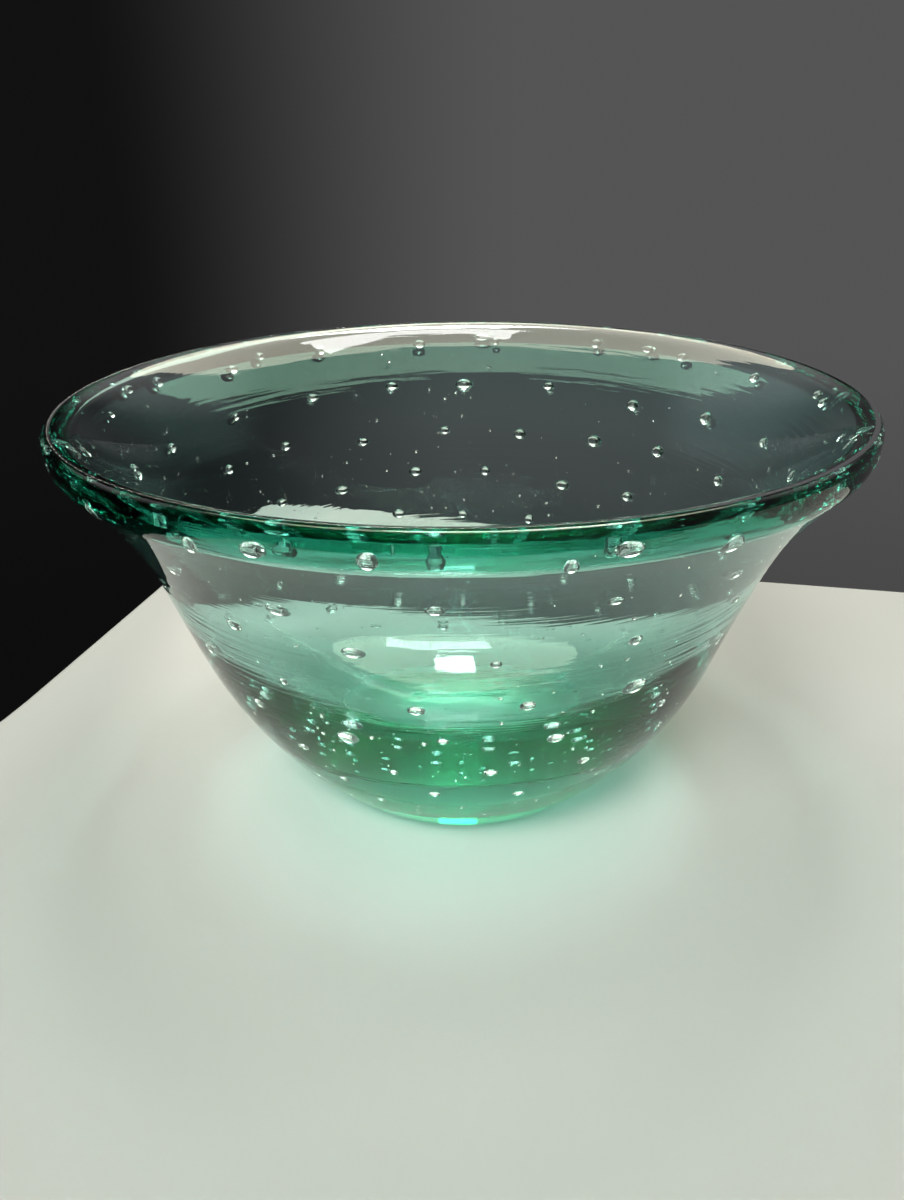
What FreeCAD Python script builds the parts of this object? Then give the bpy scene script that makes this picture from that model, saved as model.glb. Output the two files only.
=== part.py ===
"""Small hand-blown bubble-glass bowl, made of two gathers of glass.

The inner gather was pricked all over in rings, and the outer gather closed over
the pits and trapped a bubble of air at each. Both were blown and opened out
together into a flared bowl with a heavy base and a rounded lip.

Every half section is a polygon of straight lines whose corners are rounded by
arcs: the belly, the flare and the lip are all such roundings.

Frame: origin at the centre of the resting face, +Z up. Millimetres.
"""

import FreeCAD, Part
import math
import os

from FreeCAD import Vector

# Driving dimensions
RIM_RADIUS = 80.0  # to the upright land of the lip
HEIGHT = 86.7  # from the resting face to the top of the lip
FLOOR_HEIGHT = 9.0  # top of the solid glass base
WALL_THICKNESS = 3.7  # of the straight part of the wall
LIP_THICKNESS = 5.96  # from the underside of the lip to its inside
PONTIL_RADIUS = 21.0  # ground hollow where the rod was broken off
PONTIL_DEPTH = 0.9

# The wall's three slopes, measured from upright, and a point that each runs through
FOOT_SLOPE = math.radians(47.0)
FOOT_POINT = Vector(34.2, 0, 1.7)
WALL_SLOPE = math.radians(19.6)
WALL_POINT = Vector(57.0, 0, 36.3)
LIP_SLOPE = math.radians(43.0)
LIP_POINT = Vector(77.6, 0, 78.8)
INNER_LIP_SLOPE = math.radians(40.5)  # the lip thins a little towards the wall

# Roundings
FOOT_ROUNDING = 6.3  # from the resting face to the foot slope
BELLY_ROUNDING = 88.0  # from the foot slope to the wall
FLARE_ROUNDING = 67.0  # from the wall to the lip
LIP_ROUNDING = 6.0  # under the land of the lip
CORNER_ROUNDING = 0.7  # from the land of the lip to its top
CREST_ROUNDING = 5.5  # from the top of the lip to its inside
INNER_BELLY_ROUNDING = 60.0  # from the floor to the inside of the wall
INNER_FLARE_ROUNDING = 54.0

# The surface where the gathers meet
OUTER_SHARE = 0.78  # of the wall and the lip is the outer gather
MEETING_FLOOR = 5.2  # top of the outer gather at the axis
MEETING_BELLY_ROUNDING = 45.0
MEETING_FLARE_ROUNDING = 58.0

# Rings of air bubbles, closed voids that sit just outside that surface
BUBBLES_PER_RING = 18
RING_HEIGHTS = [79.0, 69.3, 59.0, 47.5, 37.5, 28.5, 21.0, 14.5, 9.0]
RING_START = 1.0  # degrees from +X to a bubble of the top ring
RING_TWIST = 7.0  # degrees that each ring is turned on from the one above it
BUBBLE_RADIUS = 1.2
BUBBLE_SKIN = 0.2  # least glass between a bubble and the inner gather

CLEAR_ABOVE = 20.0  # how far the cutting section runs on above the lip
UP = Vector(0, 0, 1)
ORIGIN = Vector(0, 0, 0)


def up_slope(slope):
    """Unit direction up a wall that leans out by slope from upright."""
    return Vector(math.sin(slope), 0, math.cos(slope))


def outward(slope):
    """Unit normal of that wall, pointing out and down."""
    return Vector(math.cos(slope), 0, -math.sin(slope))


def line_at(point, slope, inset=0.0):
    """A line as (point, direction), moved inwards by inset."""
    return (point - outward(slope) * inset, up_slope(slope))


def level_at(height):
    """A horizontal line as (point, direction)."""
    return (Vector(0, 0, height), Vector(1, 0, 0))


def upright_at(radius):
    """A vertical line as (point, direction)."""
    return (Vector(radius, 0, 0), UP)


def crossing(line_a, line_b):
    """Point where two lines in the XZ plane cross."""
    (p, d), (q, e) = line_a, line_b
    cross = d.x * e.z - d.z * e.x
    along = ((q.x - p.x) * e.z - (q.z - p.z) * e.x) / cross
    return p + d * along


def rounded_section(corners):
    """Face bounded by a closed polygon of (point, rounding radius), each corner rounded by an arc."""
    edges = []
    ends = []
    count = len(corners)
    for index, (corner, radius) in enumerate(corners):
        before = corners[index - 1][0]
        after = corners[(index + 1) % count][0]
        to_before = (before - corner).normalize()
        to_after = (after - corner).normalize()
        if radius == 0:
            ends.append((corner, corner))
            continue
        half_angle = to_before.getAngle(to_after) / 2
        setback = radius / math.tan(half_angle)
        bisector = (to_before + to_after).normalize()
        centre = corner + bisector * (radius / math.sin(half_angle))
        arc_start = corner + to_before * setback
        arc_end = corner + to_after * setback
        edges.append(Part.Arc(arc_start, centre - bisector * radius, arc_end).toShape())
        ends.append((arc_start, arc_end))
    for index in range(count):
        leave = ends[index][1]
        arrive = ends[(index + 1) % count][0]
        if leave.distanceToPoint(arrive) > 1e-6:
            edges.append(Part.makeLine(leave, arrive))
    return Part.Face(Part.Wire(Part.__sortEdges__(edges)))


def glass_section():
    """Half section of the whole bowl, before it is divided into gathers."""
    ground = level_at(0)
    foot = line_at(FOOT_POINT, FOOT_SLOPE)
    wall = line_at(WALL_POINT, WALL_SLOPE)
    under_lip = line_at(LIP_POINT, LIP_SLOPE)
    land = upright_at(RIM_RADIUS)
    top = level_at(HEIGHT)
    lip_inside = line_at(LIP_POINT, INNER_LIP_SLOPE, LIP_THICKNESS)
    wall_inside = line_at(WALL_POINT, WALL_SLOPE, WALL_THICKNESS)
    floor = level_at(FLOOR_HEIGHT)
    return rounded_section(
        [
            (ORIGIN, 0),
            (crossing(ground, foot), FOOT_ROUNDING),
            (crossing(foot, wall), BELLY_ROUNDING),
            (crossing(wall, under_lip), FLARE_ROUNDING),
            (crossing(under_lip, land), LIP_ROUNDING),
            (crossing(land, top), CORNER_ROUNDING),
            (crossing(top, lip_inside), CREST_ROUNDING),
            (crossing(lip_inside, wall_inside), INNER_FLARE_ROUNDING),
            (crossing(wall_inside, floor), INNER_BELLY_ROUNDING),
            (floor[0], 0),
        ]
    )


def meeting_section(clearance=0.0):
    """Half section of everything inside the surface where the gathers meet, up past the lip.

    A clearance moves its boundary that far out into the outer gather."""
    wall = line_at(WALL_POINT, WALL_SLOPE, WALL_THICKNESS * OUTER_SHARE - clearance)
    lip = line_at(LIP_POINT, INNER_LIP_SLOPE, LIP_THICKNESS * OUTER_SHARE - clearance)
    floor = level_at(MEETING_FLOOR - clearance)
    top = level_at(HEIGHT + CLEAR_ABOVE)
    return rounded_section(
        [
            (floor[0], 0),
            (crossing(floor, wall), MEETING_BELLY_ROUNDING + clearance),
            (crossing(wall, lip), MEETING_FLARE_ROUNDING - clearance),
            (crossing(lip, top), 0),
            (top[0], 0),
        ]
    )


def revolved(section):
    """Solid of revolution of a half section about the bowl's axis."""
    return section.Faces[0].revolve(ORIGIN, UP, 360.0)


def pontil_hollow():
    """Shallow ball-shaped hollow ground into the underside."""
    ball_radius = (PONTIL_RADIUS**2 + PONTIL_DEPTH**2) / (2 * PONTIL_DEPTH)
    return Part.makeSphere(ball_radius, Vector(0, 0, PONTIL_DEPTH - ball_radius))


def bubbles():
    """Balls of air in the outer gather, ring by ring from the lip down."""
    centres = meeting_section(BUBBLE_RADIUS + BUBBLE_SKIN)
    pitch = 360.0 / BUBBLES_PER_RING
    balls = []
    for ring, height in enumerate(RING_HEIGHTS):
        level = Part.makeLine(Vector(0, 0, height), Vector(2 * RIM_RADIUS, 0, height))
        centre = max(centres.common(level).Vertexes, key=lambda vertex: vertex.X).Point
        for index in range(BUBBLES_PER_RING):
            ball = Part.makeSphere(BUBBLE_RADIUS, centre)
            ball.rotate(ORIGIN, UP, RING_START + index * pitch + ring * RING_TWIST)
            balls.append(ball)
    return balls


def main():
    os.makedirs("parts", exist_ok=True)
    glass = glass_section()
    inside = meeting_section()
    outer_gather = revolved(glass.cut(inside)).cut(pontil_hollow()).cut(bubbles())
    inner_gather = revolved(glass.common(inside))
    for name, shape in (("outer_gather", outer_gather), ("inner_gather", inner_gather)):
        print(name, "valid", shape.isValid(), "solids", len(shape.Solids), "mm3", round(shape.Volume, 1))
        shape.exportStep("parts/" + name + ".step")
    print("top of the lip", glass.optimalBoundingBox().ZMax)


main()
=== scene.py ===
"""Hand-blown bubble-glass bowl, standing on a pale cloth-covered table top.

The bowl is one closed mesh of clear green glass: a turned section with the
small faults of hand work, and every trapped air bubble as an inner shell of the
same mesh, so that light enters and leaves the glass where it really would.

The bowl's mesh is worked out in millimetres, and everything else is in metres.
"""

import math

import bpy
import numpy as np
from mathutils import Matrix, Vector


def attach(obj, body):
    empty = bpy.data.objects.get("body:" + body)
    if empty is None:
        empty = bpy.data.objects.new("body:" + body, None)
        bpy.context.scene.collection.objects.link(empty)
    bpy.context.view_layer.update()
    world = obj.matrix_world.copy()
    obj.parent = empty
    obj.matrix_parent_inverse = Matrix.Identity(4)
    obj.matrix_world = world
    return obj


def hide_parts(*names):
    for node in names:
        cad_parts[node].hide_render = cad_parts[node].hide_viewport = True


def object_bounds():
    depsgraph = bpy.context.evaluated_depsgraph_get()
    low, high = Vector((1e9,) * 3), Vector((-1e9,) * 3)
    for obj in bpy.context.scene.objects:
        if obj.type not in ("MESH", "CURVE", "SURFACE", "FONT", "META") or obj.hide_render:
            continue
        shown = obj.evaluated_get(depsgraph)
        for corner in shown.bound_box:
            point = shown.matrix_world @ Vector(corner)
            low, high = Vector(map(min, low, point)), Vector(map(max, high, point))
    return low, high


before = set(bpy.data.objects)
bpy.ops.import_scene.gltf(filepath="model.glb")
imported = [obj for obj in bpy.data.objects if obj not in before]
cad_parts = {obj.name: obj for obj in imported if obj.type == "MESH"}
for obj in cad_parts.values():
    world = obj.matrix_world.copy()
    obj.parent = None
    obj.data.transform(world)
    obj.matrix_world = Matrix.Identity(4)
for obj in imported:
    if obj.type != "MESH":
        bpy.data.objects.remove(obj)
cad_low, cad_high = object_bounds()

MM = 0.001
FULL_TURN = 2 * math.pi
RNG = np.random.default_rng(7)

# The CAD model's sizes, in millimetres
RIM_RADIUS = (cad_high.x - cad_low.x) / 2 / MM
HEIGHT = cad_high.z / MM
FLOOR_HEIGHT = 9.0
WALL_THICKNESS = 3.7
LIP_THICKNESS = 5.96
PONTIL_RADIUS = 21.0
PONTIL_DEPTH = 0.9

# Its slopes, measured from upright, and the (radius, height) that each runs through. The inner
# lip's line is moved in from LIP_POINT by the lip's thickness.
FOOT_SLOPE = math.radians(47.0)
FOOT_POINT = (34.2, 1.7)
WALL_SLOPE = math.radians(19.6)
WALL_POINT = (57.0, 36.3)
LIP_SLOPE = math.radians(43.0)
INNER_LIP_SLOPE = math.radians(40.5)
LIP_POINT = (77.6, 78.8)

# Its roundings, in millimetres
FOOT_ROUNDING = 6.3
BELLY_ROUNDING = 88.0
FLARE_ROUNDING = 67.0
LIP_ROUNDING = 6.0
CREST_ROUNDING = 5.5
INNER_FLARE_ROUNDING = 54.0
INNER_BELLY_ROUNDING = 60.0

# Hand work, in millimetres and kept inside the CAD model's box
INSIDE_BOX = 0.15  # how far the turned section is drawn in from the box
FIRE_POLISH = 1.8  # rounding of the lip's outer top corner
DRIFT = 0.7  # how far the belly leans towards -X
DRIFT_BACK = 0.3  # part of that lean that goes towards +Y as well
OVAL = 0.35  # swell of the wall on two opposite sides
OVAL_TURN = 0.7  # radians
LOBES = 0.12  # swell of the wall on three sides
LOBES_TWIST = 9.0  # radians that the three sides turn from the base to the lip
LOBES_FULL = 1 / 3  # part of the height by which that swell is full
SWELL_FADE = 30.0  # radius within which a swell dies away towards the axis
LIP_DRAW_IN = 0.3 * OVAL  # how much further the lip is drawn in, so that it keeps inside the box
LIP_DRAW_IN_RISE = (0.6, 1.0)  # parts of the height where that starts and is full
LIP_WAVE = 0.35  # how far the lip dips, on two opposite sides
LIP_WAVE_RISE = (0.75, 1.0)  # parts of the height where that starts and is full
LIP_WAVE_TURN = 2.1  # radians

# Tool marks on the outside: waves up the wall that are added together, in millimetres
RIPPLE = 0.02  # height that the marks seldom pass
WAVES = 14
WAVES_TOGETHER = 3.0  # what that many waves of random strength seldom add up to
WAVE_PITCHES = (1.6, 5.0)
WAVE_STRENGTHS = (0.3, 1.0)
WAVE_PATCHES = (0.6, 0.4)  # mean strength around the bowl, and how much it varies
MARKS_RISE = (4.0, 12.0)  # heights where the marks start and are full
MARKS_END = 9.0  # how far below the top of the lip they end
MARKS_FACING = 0.3  # they are left out where the surface faces outwards less than this

# Mesh density
AROUND = 240  # vertices around the bowl
STEP_ALONG = 1.25  # longest step along the section, in millimetres
ARC_STEP = math.radians(9.0)  # most turn from one point of a rounding to the next
PONTIL_STEPS = 16  # steps from the axis to the edge of the ground hollow
BUBBLE_FACES = (18, 9)  # around a bubble, and from tip to tip
SEED_FACES = (8, 5)
SLOPE_REACH = 0.5  # how far above and below a bubble the slope of the wall is taken

# Rings of pricked bubbles as (height, depth under the outer surface), from the lip down
RINGS = [
    (79.0, 3.0),
    (69.3, 2.4),
    (59.0, 1.9),
    (47.5, 1.85),
    (37.5, 1.9),
    (28.5, 2.0),
    (21.0, 2.3),
    (14.5, 2.8),
    (9.0, 3.4),
]
BUBBLES_PER_RING = 18
RING_START = math.radians(1.0)  # turn from +X to a bubble of the top ring
RING_TWIST = math.radians(7.0)  # that each ring is turned on from the one above it
TURN_SPREAD = 0.02  # radians
HEIGHT_SPREAD = 0.8
DEPTH_SPREAD = 0.12

# Half sizes of pricked bubbles, in millimetres
BUBBLE_SIZE = 1.5
BUBBLE_SIZE_SPREAD = 0.28
BUBBLE_SIZE_LIMITS = (0.9, 2.0)
FULL_SIZE_ABOVE = 40.0  # height below which the rings get smaller
LOWEST_RING_SIZE = 0.3  # part of the full size at the lowest ring
BUBBLE_FLATNESS = 0.72  # part of the size through the wall
BUBBLE_THICKEST = 1.2  # most half size through the wall
BUBBLE_WIDTHS = (0.95, 1.3)  # least and greatest part of the size around the bowl
BUBBLE_HEIGHTS = (0.75, 0.9)  # and up the wall

# Long bubbles in the lip, in millimetres
LIP_BUBBLES = 9
LIP_BUBBLE_START = math.radians(-70.0)  # turn from +X to the first
LIP_BUBBLE_TURN_SPREAD = 0.06  # radians
LIP_BUBBLE_HEIGHT = 80.5
LIP_BUBBLE_HEIGHT_SPREAD = 0.5
LIP_BUBBLE_DEPTH = 3.0  # under the outer surface
LIP_BUBBLE_LENGTHS = (1.3, 2.6)  # half lengths, along the lip
LIP_BUBBLE_THICKNESS = (0.9, 1.0)  # half sizes through and up the wall

# Seeds, the fine bubbles all through the glass, in millimetres
SEEDS = 560
SEEDS_TOP = 82.0
SEEDS_REACH = 72.0  # from the highest to the lowest
SEEDS_DOWNWARDS = 0.8  # a power below 1, which gathers them a little towards the base
SEED_DEPTHS = (0.8, 2.8)  # under the outer surface
SEED_SIZE_LEAST = 0.12  # half size
SEED_SIZE_RANGE = 0.30
SEED_SIZE_POWER = 3  # most seeds are near the least size
SEED_WIDTHS = (1, 1.6)  # part of the size, around the bowl

# Glass
GLASS_IOR = 1.52
POLISHED = 0.0  # roughness everywhere but on the ground underside
ABSORPTION_COLOUR = (0.22, 0.80, 0.71, 1)
ABSORPTION_DENSITY = 100.0
GROUND_HEIGHT = 0.0011  # the ground underside is matt up to here
GROUND_FADE = 0.0003
GROUND_ROUGHNESS = 0.4

# Fine lines in the skin of the glass
STRIATIONS_PER_METRE = (28.0, 28.0, 1100.0)
STRIATION_DETAIL = 2.0
STRIATION_DEPTH = 0.00005
PATCHES_PER_METRE = 38.0
PATCH_DETAIL = 1.0
PATCH_LIMITS = (0.42, 0.68)  # the noise values at which the lines are weakest and strongest
PATCH_STRENGTHS = (0.15, 1.0)

# Table top: its outline, counter-clockwise, with the rounding of each corner
TABLE_CORNERS = [
    ((0.42, 0.026), 0.03),
    ((0.09, 0.094), 0.04),
    ((-0.02, 0.134), 0.10),
    ((-0.086, 0.172), 0.008),
    ((-0.120, 0.011), 0.10),
    ((-0.209, -0.20), 0.03),
    ((0.42, -0.20), 0.03),
]
TABLE_EDGE = 0.004  # rounding of the upper edge
TABLE_EDGE_STEPS = 6
TABLE_THICKNESS = 0.02
TABLE_GAP = 0.0001  # between the bowl and the table

# Cloth on the table, with painted light: an oval patch where the bowl stands is painted paler, in place
# of the light that passes through the glass into the bowl's shadow
CLOTH_ROUGHNESS = 0.9
# The two paler shades are painted light under and near the bowl. CLOTH_FAR is the cloth's own shade.
CLOTH_UNDER_BOWL_PAINTED_LIGHT = (0.32, 0.315, 0.305, 1)
CLOTH_NEAR_BOWL_PAINTED_LIGHT = (0.246, 0.238, 0.228, 1)
CLOTH_FAR = (0.152, 0.158, 0.150, 1)
CLOTH_STOPS = (0.18, 0.52, 0.92)  # parts of the patch's reach where those three shades are
PAINTED_LIGHT_CENTRE = (-0.006, 0.04, 0.0)
PAINTED_LIGHT_REACH = (0.105, 0.165, 1.0)

# Dim room: where each ramp starts and ends along one axis of the direction looked in, and the
# strengths there
ROOM_COLOUR = (1.0, 0.98, 1.0, 1)
DARK_TO_GREY = ((-0.34, 0.08), (0.006, 0.092))  # X, from left to right
DIMMER_BELOW = ((-0.45, -0.15), (0.72, 1.0))  # Z
PALER_ABOVE = ((0.28, 0.55), (0.0, 0.7))  # Z
PALER_BEHIND = ((0.0, 0.4), (0.0, 1.0))  # Y

# Camera
CAMERA_PLACE = (0.0, -0.1843, 0.1290)
CAMERA_TURN = [math.radians(angle) for angle in (63.70, 0.68, 0.345)]
CAMERA_LENS = 27.06  # millimetres
CAMERA_SENSOR = 36.0  # millimetres
CAMERA_CLIP_START = 0.005


def up_slope(slope):
    """Direction up a wall that leans out by slope from upright."""
    return np.array([math.sin(slope), math.cos(slope)])


def outward(slope):
    """Normal of that wall, out and down."""
    return np.array([math.cos(slope), -math.sin(slope)])


def line_at(point, slope, inset=0.0):
    """A line of the half section as (point, direction), moved in by inset."""
    return np.array(point) - outward(slope) * inset, up_slope(slope)


def level_at(height):
    """A horizontal line as (point, direction)."""
    return np.array([0.0, height]), np.array([1.0, 0.0])


def upright_at(radius):
    """A vertical line as (point, direction)."""
    return np.array([radius, 0.0]), np.array([0.0, 1.0])


def crossing(line_a, line_b):
    """Point where two lines of the half section cross."""
    (point_a, way_a), (point_b, way_b) = line_a, line_b
    gap = point_b - point_a
    cross = way_a[0] * way_b[1] - way_a[1] * way_b[0]
    along = (gap[0] * way_b[1] - gap[1] * way_b[0]) / cross
    return point_a + way_a * along


def rounding(before, corner, after, radius):
    """Points along the arc that rounds a corner, which lies between the points before and after it."""
    if radius == 0:
        return [corner]
    to_before = (before - corner) / np.linalg.norm(before - corner)
    to_after = (after - corner) / np.linalg.norm(after - corner)
    half = math.acos(np.clip(to_before @ to_after, -1, 1)) / 2
    bisector = (to_before + to_after) / np.linalg.norm(to_before + to_after)
    centre = corner + bisector * radius / math.sin(half)
    sweep = math.pi - 2 * half
    pieces = max(math.ceil(sweep / ARC_STEP), math.ceil(sweep * radius / STEP_ALONG))
    start = corner + to_before * radius / math.tan(half) - centre
    sign = np.sign(to_before[0] * to_after[1] - to_before[1] * to_after[0])
    points = []
    for turn in np.linspace(0, -sign * sweep, pieces + 1):
        across = math.cos(turn) * start[0] - math.sin(turn) * start[1]
        along = math.sin(turn) * start[0] + math.cos(turn) * start[1]
        points.append(centre + np.array([across, along]))
    return points


def filled_in(points):
    """The same line with more points wherever a straight run is long."""
    dense = [points[0]]
    for start, end in zip(points, points[1:]):
        pieces = max(1, math.ceil(np.linalg.norm(end - start) / STEP_ALONG))
        dense += [start + (end - start) * k / pieces for k in range(1, pieces + 1)]
    return np.array(dense)


def rounded_line(corners):
    """Open line through (point, rounding radius) corners."""
    points = [corners[0][0]]
    for (before, _), (corner, radius), (after, _) in zip(corners, corners[1:], corners[2:]):
        points += rounding(before, corner, after, radius)
    points.append(corners[-1][0])
    return filled_in(points)


def section():
    """Half section as one line: underside, outside, lip and inside, from axis to axis."""
    ground = level_at(0.0)
    foot = line_at(FOOT_POINT, FOOT_SLOPE)
    wall = line_at(WALL_POINT, WALL_SLOPE)
    under_lip = line_at(LIP_POINT, LIP_SLOPE)
    land = upright_at(RIM_RADIUS)
    top = level_at(HEIGHT)
    lip_inside = line_at(LIP_POINT, INNER_LIP_SLOPE, LIP_THICKNESS)
    wall_inside = line_at(WALL_POINT, WALL_SLOPE, WALL_THICKNESS)
    floor = level_at(FLOOR_HEIGHT)
    outside = rounded_line(
        [
            (np.array([PONTIL_RADIUS, 0.0]), 0),
            (crossing(ground, foot), FOOT_ROUNDING),
            (crossing(foot, wall), BELLY_ROUNDING),
            (crossing(wall, under_lip), FLARE_ROUNDING),
            (crossing(under_lip, land), LIP_ROUNDING),
            (crossing(land, top), FIRE_POLISH),
            (crossing(top, lip_inside), CREST_ROUNDING),
            (crossing(lip_inside, wall_inside), INNER_FLARE_ROUNDING),
            (crossing(wall_inside, floor), INNER_BELLY_ROUNDING),
            (np.array([0.0, FLOOR_HEIGHT]), 0),
        ]
    )
    across = np.linspace(0, PONTIL_RADIUS, PONTIL_STEPS, endpoint=False)
    hollow = np.stack([across, PONTIL_DEPTH * (1 - (across / PONTIL_RADIUS) ** 2)], axis=1)
    return np.concatenate([hollow, outside])


def smooth_step(value, start=0.0, end=1.0):
    """Rises smoothly from 0 at start to 1 at end."""
    share = np.clip((value - start) / (end - start), 0, 1)
    return share * share * (3 - 2 * share)


def by_hand(points):
    """Moves points of the true turned shape as the glassblower's hand left them, in millimetres."""
    x, y, z = points.T
    angle = np.arctan2(y, x)
    radius = np.maximum(np.hypot(x, y), 1e-9)  # never zero, so that it can be divided by
    up = z / HEIGHT
    belly = np.sin(math.pi * smooth_step(up))
    lean = DRIFT * belly**2
    swell = OVAL * belly * np.cos(2 * angle + OVAL_TURN)
    swell += LOBES * np.sin(3 * angle + LOBES_TWIST * up) * smooth_step(up, 0, LOBES_FULL)
    swell *= np.clip(radius / SWELL_FADE, 0, 1)
    draw_in = INSIDE_BOX + LIP_DRAW_IN * smooth_step(up, *LIP_DRAW_IN_RISE)
    scale = 1 - draw_in / RIM_RADIUS + swell / radius
    wave = 0.5 + 0.5 * np.sin(2 * angle + LIP_WAVE_TURN)
    dip = LIP_WAVE * wave * smooth_step(up, *LIP_WAVE_RISE)
    return np.stack([x * scale - lean, y * scale + DRIFT_BACK * lean, z - dip], axis=1)


def tool_marks(rim, normal, angles):
    """How far the tool marks raise each point of a turned line, at each angle around."""
    heights = rim[:, 1]
    outside = (normal[:, 0] > MARKS_FACING) * (heights < HEIGHT - MARKS_END)
    mean, variation = WAVE_PATCHES
    marks = np.zeros((len(rim), len(angles)))
    for _ in range(WAVES):
        pitch = RNG.uniform(*WAVE_PITCHES)
        phase = RNG.uniform(0, FULL_TURN)
        spiral = RNG.integers(-1, 2)
        strength = RNG.uniform(*WAVE_STRENGTHS)
        patches = RNG.integers(1, 4)
        patch_turn = RNG.uniform(0, 6)
        patch = mean + variation * np.sin(angles * patches + patch_turn)
        wave = np.sin(heights[:, None] * FULL_TURN / pitch + phase + spiral * angles)
        marks += strength * wave * patch
    return marks * RIPPLE / WAVES_TOGETHER * (outside * smooth_step(heights, *MARKS_RISE))[:, None]


def side_faces(rows, around):
    """Four-sided faces between rows of vertices, each of which goes once around."""
    faces = []
    for low in range(0, (rows - 1) * around, around):
        high = low + around
        for k in range(around):
            following = (k + 1) % around
            faces.append((low + k, low + following, high + following, high + k))
    return faces


def tipped_faces(rows, around):
    """Faces of a closed shape: its rows of vertices, and then the tips that close its two ends."""
    first_tip = rows * around
    last_tip = first_tip + 1
    last_row = first_tip - around
    faces = side_faces(rows, around)
    for k in range(around):
        following = (k + 1) % around
        faces.append((first_tip, following, k))
        faces.append((last_tip, last_row + k, last_row + following))
    return faces


def turned(line):
    """Vertices and faces of a line from axis to axis, turned about the axis."""
    rim = line[1:-1]
    angles = np.linspace(0, FULL_TURN, AROUND, endpoint=False)
    tangent = np.gradient(rim, axis=0)
    tangent /= np.linalg.norm(tangent, axis=1)[:, None]
    normal = np.stack([tangent[:, 1], -tangent[:, 0]], axis=1)
    marks = tool_marks(rim, normal, angles)
    radii = rim[:, 0:1] + marks * normal[:, 0:1]
    heights = rim[:, 1:2] + marks * normal[:, 1:2]
    rows = np.stack([radii * np.cos(angles), radii * np.sin(angles), heights], axis=2)
    tips = [[0, 0, line[0][1]], [0, 0, line[-1][1]]]
    return np.concatenate([rows.reshape(-1, 3), tips]), tipped_faces(len(rim), AROUND)


def ball(around, rings):
    """Unit ball with its faces turned inwards, because a bubble is the outside of the glass."""
    vertices = []
    for row in range(1, rings):
        polar = math.pi * row / rings
        for k in range(around):
            turn = FULL_TURN * k / around
            radius = math.sin(polar)
            vertices.append((radius * math.cos(turn), radius * math.sin(turn), math.cos(polar)))
    vertices += [(0, 0, 1), (0, 0, -1)]
    return np.array(vertices, float), tipped_faces(rings - 1, around)


class Wall:
    """Places inside the glass, found from the section's outer line."""

    def __init__(self, line):
        crest = int(np.argmax(line[:, 1]))
        edge = int(np.argmax(line[:, 0] >= FOOT_POINT[0]))
        self.line = line[edge:crest]

    def place(self, height, turn, depth):
        """Point at a depth under the outer surface, with its directions out, around and up."""
        radii, heights = self.line.T
        nearby = [height - SLOPE_REACH, height, height + SLOPE_REACH]
        below, radius, above = np.interp(nearby, heights, radii)
        slope = math.atan2(above - below, 2 * SLOPE_REACH)
        cosine, sine = math.cos(turn), math.sin(turn)
        out = np.array([math.cos(slope) * cosine, math.cos(slope) * sine, -math.sin(slope)])
        around = np.array([-sine, cosine, 0.0])
        up = np.cross(around, out)
        surface = np.array([radius * cosine, radius * sine, height])
        return surface - out * depth, np.array([out, around, up])


def ring_bubbles(wall):
    """(centre, axes, half sizes) of each bubble that was pricked into the glass."""
    found = []
    pitch = FULL_TURN / BUBBLES_PER_RING
    lowest = RINGS[-1][0]
    for ring, (height, depth) in enumerate(RINGS):
        share = np.interp(height, [lowest, FULL_SIZE_ABOVE], [LOWEST_RING_SIZE, 1.0])
        for index in range(BUBBLES_PER_RING):
            turn = RING_START + index * pitch + ring * RING_TWIST + RNG.normal(0, TURN_SPREAD)
            own_height = height + RNG.normal(0, HEIGHT_SPREAD)
            own_depth = depth + RNG.normal(0, DEPTH_SPREAD)
            centre, axes = wall.place(own_height, turn, own_depth)
            size = share * np.clip(RNG.normal(BUBBLE_SIZE, BUBBLE_SIZE_SPREAD), *BUBBLE_SIZE_LIMITS)
            through = min(size * BUBBLE_FLATNESS, BUBBLE_THICKEST)
            across = size * RNG.uniform(*BUBBLE_WIDTHS)
            upwards = size * RNG.uniform(*BUBBLE_HEIGHTS)
            found.append((centre, axes, np.array([through, across, upwards])))
    return found


def lip_bubbles(wall):
    """(centre, axes, half sizes) of each long bubble stretched along the lip."""
    found = []
    through, upwards = LIP_BUBBLE_THICKNESS
    pitch = FULL_TURN / LIP_BUBBLES
    for index in range(LIP_BUBBLES):
        turn = LIP_BUBBLE_START + index * pitch + RNG.normal(0, LIP_BUBBLE_TURN_SPREAD)
        height = LIP_BUBBLE_HEIGHT + RNG.normal(0, LIP_BUBBLE_HEIGHT_SPREAD)
        centre, axes = wall.place(height, turn, LIP_BUBBLE_DEPTH)
        length = RNG.uniform(*LIP_BUBBLE_LENGTHS)
        found.append((centre, axes, np.array([through, length, upwards])))
    return found


def seeds(wall):
    """(centre, axes, half sizes) of each fine bubble scattered through the glass."""
    found = []
    for _ in range(SEEDS):
        height = SEEDS_TOP - SEEDS_REACH * RNG.random() ** SEEDS_DOWNWARDS
        turn = RNG.uniform(0, FULL_TURN)
        depth = RNG.uniform(*SEED_DEPTHS)
        centre, axes = wall.place(height, turn, depth)
        size = SEED_SIZE_LEAST + SEED_SIZE_RANGE * RNG.random() ** SEED_SIZE_POWER
        width = size * RNG.uniform(*SEED_WIDTHS)
        found.append((centre, axes, np.array([size, width, size])))
    return found


def shells(bubbles, unit_ball):
    """(vertices, faces) of each bubble, made from a unit ball."""
    vertices, faces = unit_ball
    return [(centre + (vertices * half_sizes) @ axes, faces) for centre, axes, half_sizes in bubbles]


def joined(parts):
    """Several (vertices, faces) as one."""
    blocks, all_faces = [], []
    count = 0
    for vertices, faces in parts:
        blocks.append(vertices)
        all_faces += [tuple(count + i for i in face) for face in faces]
        count += len(vertices)
    return np.concatenate(blocks), all_faces


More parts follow.
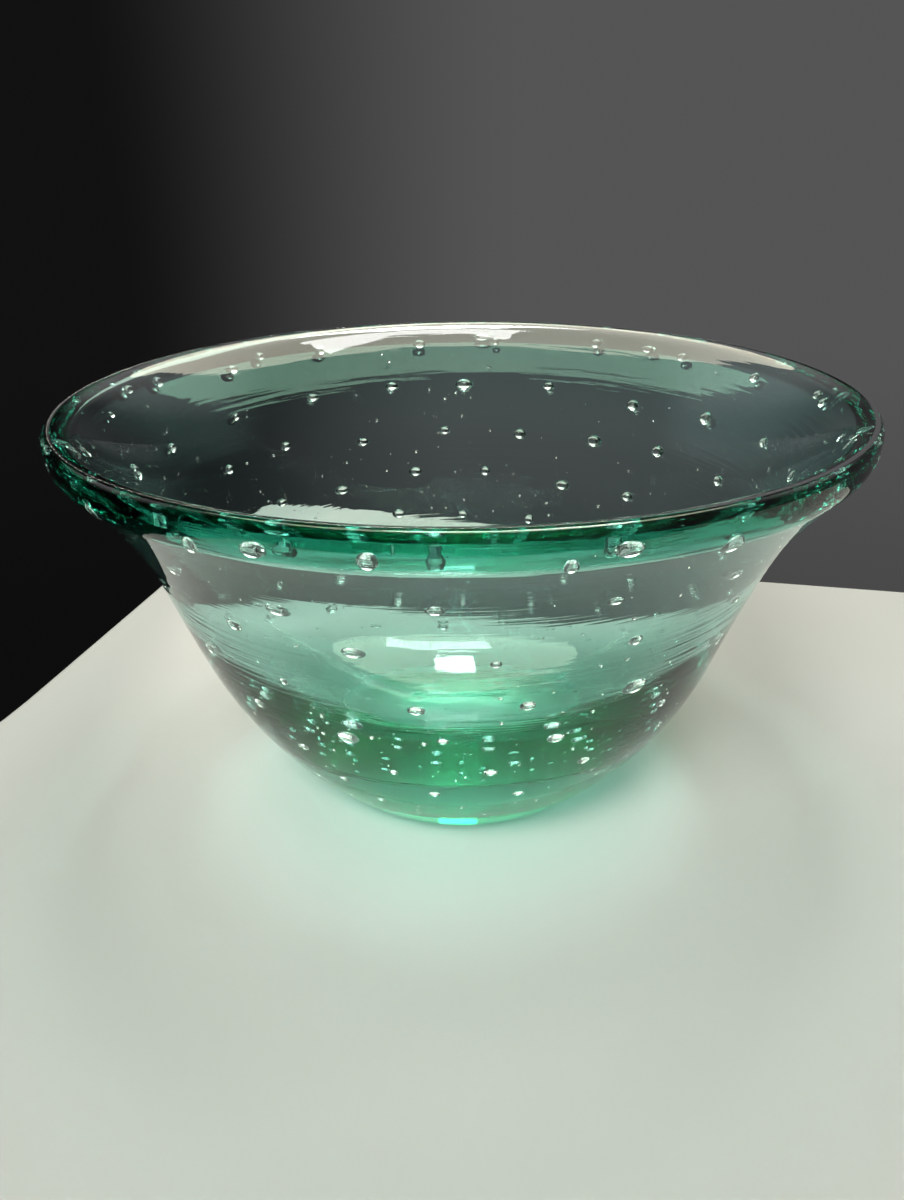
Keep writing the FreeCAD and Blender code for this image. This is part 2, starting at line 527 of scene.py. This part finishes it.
def glass_mesh():
    """Mesh of the whole bowl with its bubbles."""
    line = section()
    wall = Wall(line)
    parts = [turned(line)]
    parts += shells(ring_bubbles(wall) + lip_bubbles(wall), ball(*BUBBLE_FACES))
    parts += shells(seeds(wall), ball(*SEED_FACES))
    vertices, faces = joined(parts)
    mesh = bpy.data.meshes.new("bowl_glass")
    mesh.from_pydata((by_hand(vertices) * MM).tolist(), [], faces)
    mesh.validate()
    mesh.polygons.foreach_set("use_smooth", np.ones(len(mesh.polygons), bool))
    return mesh


def mapped(nodes, links, value, limits, results, interpolation="LINEAR"):
    """Output that goes from the first result to the second as value goes from limit to limit."""
    step = nodes.new("ShaderNodeMapRange")
    step.interpolation_type = interpolation
    step.inputs["From Min"].default_value, step.inputs["From Max"].default_value = limits
    step.inputs["To Min"].default_value, step.inputs["To Max"].default_value = results
    links.new(value, step.inputs["Value"])
    return step.outputs["Result"]


def combined(nodes, links, operation, first, second):
    """Output of one maths operation on two values."""
    both = nodes.new("ShaderNodeMath")
    both.operation = operation
    links.new(first, both.inputs[0])
    links.new(second, both.inputs[1])
    return both.outputs["Value"]


def noise(nodes, links, where, scale, detail):
    """Output that wanders smoothly between 0 and 1 from place to place."""
    texture = nodes.new("ShaderNodeTexNoise")
    texture.inputs["Scale"].default_value = scale
    texture.inputs["Detail"].default_value = detail
    links.new(where, texture.inputs["Vector"])
    return texture.outputs["Fac"]


def ground_underside(nodes, links):
    """Roughness: polished glass, but matt where the underside was ground flat."""
    where = nodes.new("ShaderNodeSeparateXYZ")
    links.new(nodes.new("ShaderNodeTexCoord").outputs["Object"], where.inputs["Vector"])
    limits = (GROUND_HEIGHT, GROUND_HEIGHT + GROUND_FADE)
    return mapped(nodes, links, where.outputs["Z"], limits, (GROUND_ROUGHNESS, POLISHED))


def striations(nodes, links):
    """Fine level lines left by the tools, stronger in some places than in others, as a bumped normal."""
    where = nodes.new("ShaderNodeTexCoord").outputs["Object"]
    stretch = nodes.new("ShaderNodeMapping")
    stretch.inputs["Scale"].default_value = STRIATIONS_PER_METRE
    links.new(where, stretch.inputs["Vector"])
    lines = noise(nodes, links, stretch.outputs["Vector"], scale=1.0, detail=STRIATION_DETAIL)
    patches = noise(nodes, links, where, scale=PATCHES_PER_METRE, detail=PATCH_DETAIL)
    strength = mapped(nodes, links, patches, PATCH_LIMITS, PATCH_STRENGTHS)
    bump = nodes.new("ShaderNodeBump")
    bump.inputs["Strength"].default_value = 1.0
    bump.inputs["Distance"].default_value = STRIATION_DEPTH
    links.new(combined(nodes, links, "MULTIPLY", lines, strength), bump.inputs["Height"])
    return bump.outputs["Normal"]


def glass_material():
    """Clear green glass. Its colour is all in the depth of glass that light passes through."""
    material = bpy.data.materials.new("green_glass")
    material.use_nodes = True
    nodes, links = material.node_tree.nodes, material.node_tree.links
    surface = nodes["Principled BSDF"]
    surface.inputs["Base Color"].default_value = (1, 1, 1, 1)
    surface.inputs["Roughness"].default_value = POLISHED
    surface.inputs["IOR"].default_value = GLASS_IOR
    surface.inputs["Transmission Weight"].default_value = 1.0
    absorption = nodes.new("ShaderNodeVolumeAbsorption")
    absorption.inputs["Color"].default_value = ABSORPTION_COLOUR
    absorption.inputs["Density"].default_value = ABSORPTION_DENSITY
    links.new(absorption.outputs["Volume"], nodes["Material Output"].inputs["Volume"])
    links.new(striations(nodes, links), surface.inputs["Normal"])
    links.new(ground_underside(nodes, links), surface.inputs["Roughness"])
    return material


def make_bowl():
    """The glass, which stands for both gathers."""
    bowl = bpy.data.objects.new("bowl_glass", glass_mesh())
    bpy.context.scene.collection.objects.link(bowl)
    bowl.data.materials.append(glass_material())
    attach(bowl, "root")
    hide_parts("outer_gather", "inner_gather")


def table_outline():
    """Points around the table top, and the direction inwards at each."""
    outline = []
    for index, (corner, radius) in enumerate(TABLE_CORNERS):
        before, _ = TABLE_CORNERS[index - 1]
        after, _ = TABLE_CORNERS[(index + 1) % len(TABLE_CORNERS)]
        outline += rounding(np.array(before), np.array(corner), np.array(after), radius)
    outline = np.array(outline)
    along = np.roll(outline, -1, axis=0) - np.roll(outline, 1, axis=0)
    inward = np.stack([-along[:, 1], along[:, 0]], axis=1)
    return outline, inward / np.linalg.norm(inward, axis=1)[:, None]


def table_mesh():
    """Slab with its top at height 0 and a rounded upper edge."""
    outline, inward = table_outline()
    levels = [(0.0, -TABLE_THICKNESS)]
    for turn in np.linspace(math.pi / 2, 0, TABLE_EDGE_STEPS + 1):
        levels.append((TABLE_EDGE * (1 - math.sin(turn)), -TABLE_EDGE * (1 - math.cos(turn))))
    vertices = []
    for inset, height in levels:
        vertices += [(x, y, height) for x, y in outline + inward * inset]
    around = len(outline)
    underside = tuple(reversed(range(around)))
    top = tuple(range(len(vertices) - around, len(vertices)))
    mesh = bpy.data.meshes.new("table")
    mesh.from_pydata(vertices, [], side_faces(len(levels), around) + [underside, top])
    mesh.validate()
    smooth = [len(face.vertices) == 4 for face in mesh.polygons]
    mesh.polygons.foreach_set("use_smooth", smooth)
    return mesh


def cloth_material():
    """Matt cloth, with painted light: an oval patch where the bowl stands is painted paler, in place of
    the light that passes through the glass into the bowl's shadow.
    """
    material = bpy.data.materials.new("cloth_with_painted_light")
    material.use_nodes = True
    nodes, links = material.node_tree.nodes, material.node_tree.links
    surface = nodes["Principled BSDF"]
    surface.inputs["Roughness"].default_value = CLOTH_ROUGHNESS
    # Painted light: an oval around the bowl, inside which the cloth is painted paler towards the middle
    oval = nodes.new("ShaderNodeMapping")
    oval.inputs["Location"].default_value = [-c / r for c, r in zip(PAINTED_LIGHT_CENTRE, PAINTED_LIGHT_REACH)]
    oval.inputs["Scale"].default_value = [1 / r for r in PAINTED_LIGHT_REACH]
    links.new(nodes.new("ShaderNodeTexCoord").outputs["Object"], oval.inputs["Vector"])
    distance = nodes.new("ShaderNodeVectorMath")
    distance.operation = "LENGTH"
    links.new(oval.outputs["Vector"], distance.inputs[0])
    # Painted light: a ramp from the paler painted shades under the bowl out to the cloth's own shade
    shade = nodes.new("ShaderNodeValToRGB")
    shade.color_ramp.interpolation = "EASE"
    under, far = shade.color_ramp.elements
    under.position, _, far.position = CLOTH_STOPS
    under.color, far.color = CLOTH_UNDER_BOWL_PAINTED_LIGHT, CLOTH_FAR
    shade.color_ramp.elements.new(CLOTH_STOPS[1]).color = CLOTH_NEAR_BOWL_PAINTED_LIGHT
    links.new(distance.outputs["Value"], shade.inputs["Fac"])
    links.new(shade.outputs["Color"], surface.inputs["Base Color"])
    return material


def make_table():
    """Pale table top, just under the bowl."""
    table = bpy.data.objects.new("table", table_mesh())
    bpy.context.scene.collection.objects.link(table)
    table.data.materials.append(cloth_material())
    table.location.z = -TABLE_GAP


def make_world():
    """Dim room: nearly black on the left, grey on the right, paler high up behind the bowl."""
    world = bpy.data.worlds.new("dim_room")
    bpy.context.scene.world = world
    world.use_nodes = True
    nodes, links = world.node_tree.nodes, world.node_tree.links
    direction = nodes.new("ShaderNodeSeparateXYZ")
    links.new(nodes.new("ShaderNodeTexCoord").outputs["Generated"], direction.inputs["Vector"])

    def ramp(axis, limits, strengths):
        """Strength that changes along one axis of the direction looked in."""
        return mapped(nodes, links, direction.outputs[axis], limits, strengths, "SMOOTHSTEP")

    across = combined(nodes, links, "MULTIPLY", ramp("X", *DARK_TO_GREY), ramp("Z", *DIMMER_BELOW))
    upper_back = combined(nodes, links, "MULTIPLY", ramp("Z", *PALER_ABOVE), ramp("Y", *PALER_BEHIND))
    background = nodes["Background"]
    background.inputs["Color"].default_value = ROOM_COLOUR
    strength = combined(nodes, links, "ADD", across, upper_back)
    links.new(strength, background.inputs["Strength"])


def make_light(
    name, centre, size, radiance, colour, shape="ELLIPSE", turn=0.0, mirrored=True, seen_through=True
):
    """Level area light that faces down, with the radiance of its surface given."""
    light = bpy.data.lights.new(name, "AREA")
    light.shape = shape
    light.size, light.size_y = size
    area = size[0] * size[1] * (math.pi / 4 if shape == "ELLIPSE" else 1)
    light.energy = radiance * area * math.pi
    light.color = colour
    lamp = bpy.data.objects.new(name, light)
    bpy.context.scene.collection.objects.link(lamp)
    lamp.location = centre
    lamp.rotation_euler = (0, 0, turn)
    lamp.visible_camera = False
    lamp.visible_glossy = mirrored
    lamp.visible_transmission = seen_through


def make_lights():
    """Wide soft ceiling light with a window and a small lamp below it, and a fill for the cloth."""
    make_light(
        "ceiling",
        centre=(0.024, 0.284, 0.60),
        size=(0.896, 0.896),
        radiance=5.2,
        colour=(1.0, 0.95, 0.76),
    )
    make_light(
        "window",
        centre=(0.082, -0.02, 0.595),
        size=(0.37, 0.12),
        radiance=14.0,
        colour=(1.0, 1.0, 0.99),
        shape="RECTANGLE",
        turn=math.radians(8),
        seen_through=False,
    )
    make_light(
        "lamp",
        centre=(0.012, 0.155, 0.45),
        size=(0.085, 0.16),
        radiance=30.0,
        colour=(1.0, 1.0, 1.0),
        shape="RECTANGLE",
    )
    make_light(
        "front_fill",
        centre=(-0.25, -0.85, 1.00),
        size=(0.50, 0.50),
        radiance=66.0,
        colour=(1.0, 1.0, 0.99),
        mirrored=False,
        seen_through=False,
    )


def make_camera():
    """Camera in front of the bowl, looking down into it."""
    camera = bpy.data.objects.new("camera", bpy.data.cameras.new("camera"))
    bpy.context.scene.collection.objects.link(camera)
    camera.data.lens = CAMERA_LENS
    camera.data.sensor_width = CAMERA_SENSOR
    camera.data.clip_start = CAMERA_CLIP_START
    camera.location = CAMERA_PLACE
    camera.rotation_euler = CAMERA_TURN
    bpy.context.scene.camera = camera


def set_light_paths():
    """Enough bounces for light to cross the glass and its bubbles many times, and plain colours."""
    settings = bpy.context.scene.cycles
    settings.max_bounces = 24
    settings.transmission_bounces = 20
    settings.glossy_bounces = 12
    settings.blur_glossy = 0.0
    settings.sample_clamp_indirect = 0.0
    bpy.context.scene.view_settings.view_transform = "Standard"


make_bowl()
make_table()
make_world()
make_lights()
make_camera()
set_light_paths()
